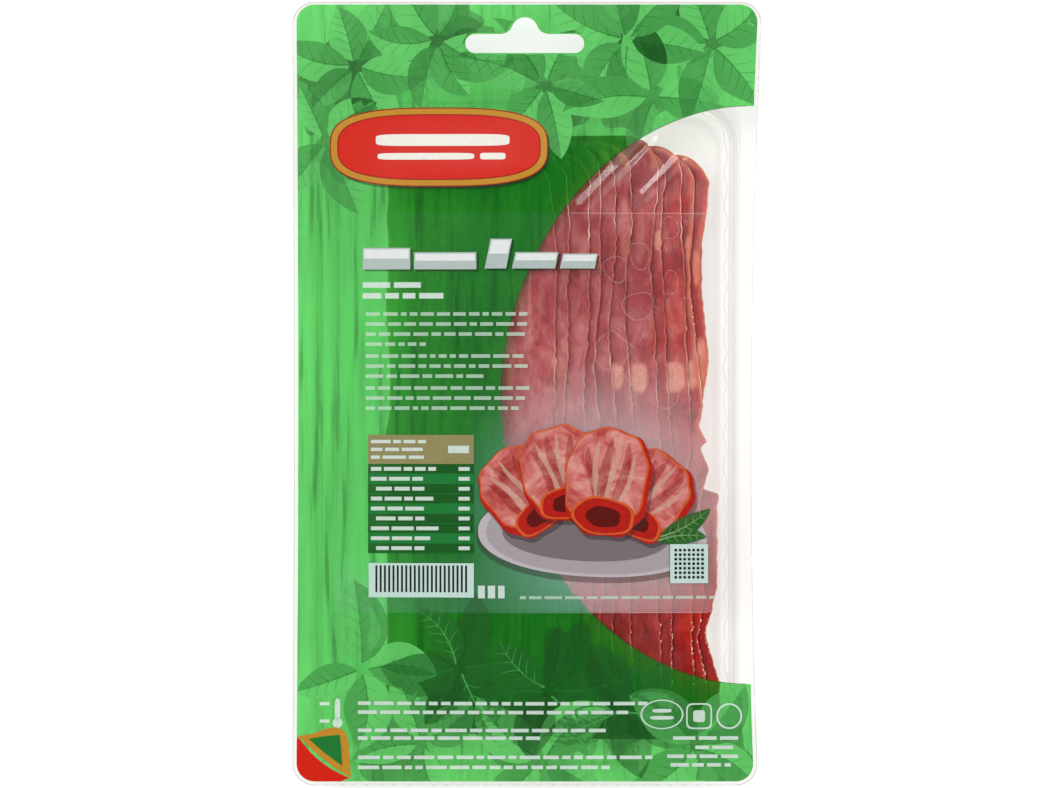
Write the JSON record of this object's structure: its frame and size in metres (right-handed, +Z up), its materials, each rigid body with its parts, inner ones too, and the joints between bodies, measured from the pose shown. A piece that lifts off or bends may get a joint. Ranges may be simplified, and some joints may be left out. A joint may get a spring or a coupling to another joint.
{
  "type": "bacon pack",
  "caption": "Flat retail pack of sliced bacon: clear tray with a hang slot, printed film lid with a clear window, clear label and fanned slices.",
  "frame": {"origin": "middle of the pack's outline, on the surface that the tray's floor rests on", "axes": "+X across the pack to the right as the print is read, +Y along it towards the hang slot, +Z up out of the printed lid"},
  "size_m": [0.1262, 0.211, 0.0202],
  "materials": {
    "clear_tray": "clear thermoformed sheet, glossy",
    "printed_film": "glossy sealing film with see-through green print and a clear window",
    "clear_label": "clear adhesive label with pale misty print",
    "bacon": "moist cured meat with pale fat"
  },
  "bodies": {
    "root": {"tray": "clear_tray", "lid_film": "printed_film", "label": "clear_label", "bacon_slice_01": "bacon", "bacon_slice_02": "bacon", "bacon_slice_03": "bacon", "bacon_slice_04": "bacon", "bacon_slice_05": "bacon", "bacon_slice_06": "bacon", "bacon_slice_07": "bacon", "bacon_slice_08": "bacon", "bacon_slice_09": "bacon", "bacon_slice_10": "bacon", "bacon_slice_11": "bacon"}
  },
  "joints": []
}
